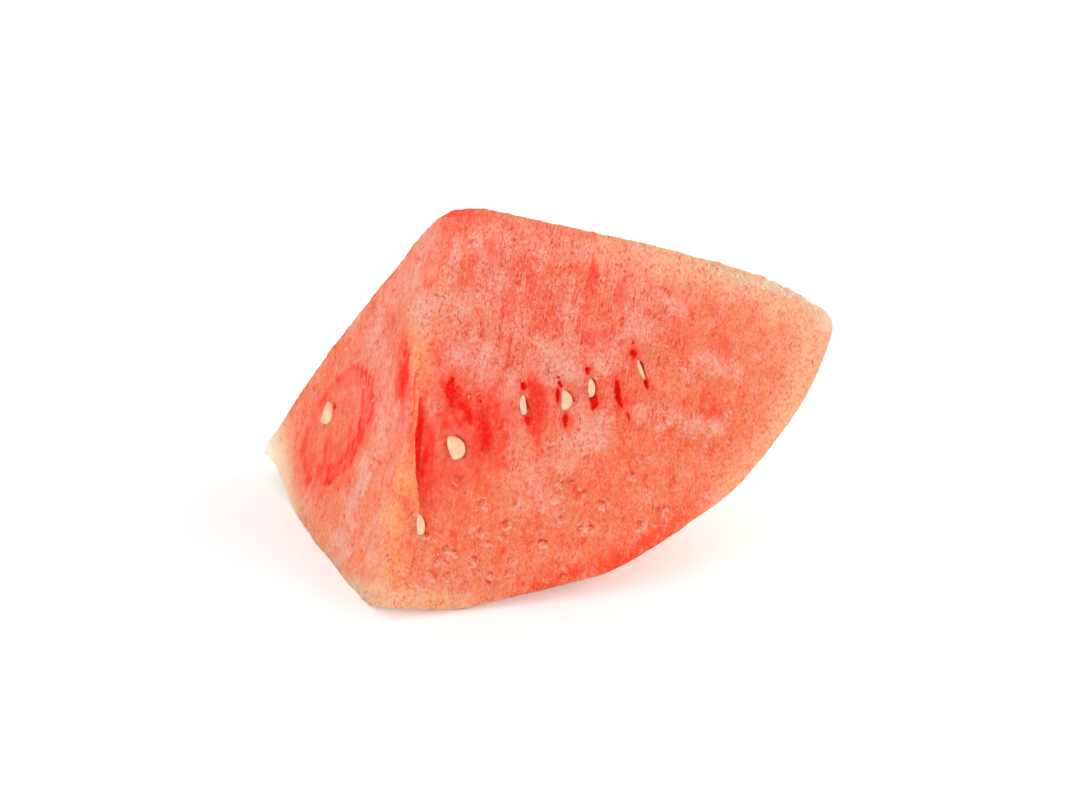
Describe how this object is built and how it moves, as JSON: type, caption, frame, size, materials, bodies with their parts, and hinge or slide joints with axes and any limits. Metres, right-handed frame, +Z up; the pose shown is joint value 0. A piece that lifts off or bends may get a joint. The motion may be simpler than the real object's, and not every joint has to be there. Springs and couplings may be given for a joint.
{
  "type": "watermelon wedge",
  "caption": "Hand-cut wedge of peeled watermelon flesh with three cut faces and one rounded peeled face, resting on a small knife-cut flat.",
  "frame": {"origin": "on the floor, below the middle of the bounding box", "axes": "+Z up; +X along the longest extent, towards the tip; the front cut face looks towards -Y and up"},
  "size_m": [0.1508, 0.089, 0.0928],
  "materials": {
    "flesh": "moist, granular coral-red fruit flesh",
    "seed": "smooth, soft, cream-coloured unripe seed",
    "rind": "pale, firm inner rind left in scraps"
  },
  "bodies": {
    "root": {"flesh": "flesh"}
  },
  "joints": []
}
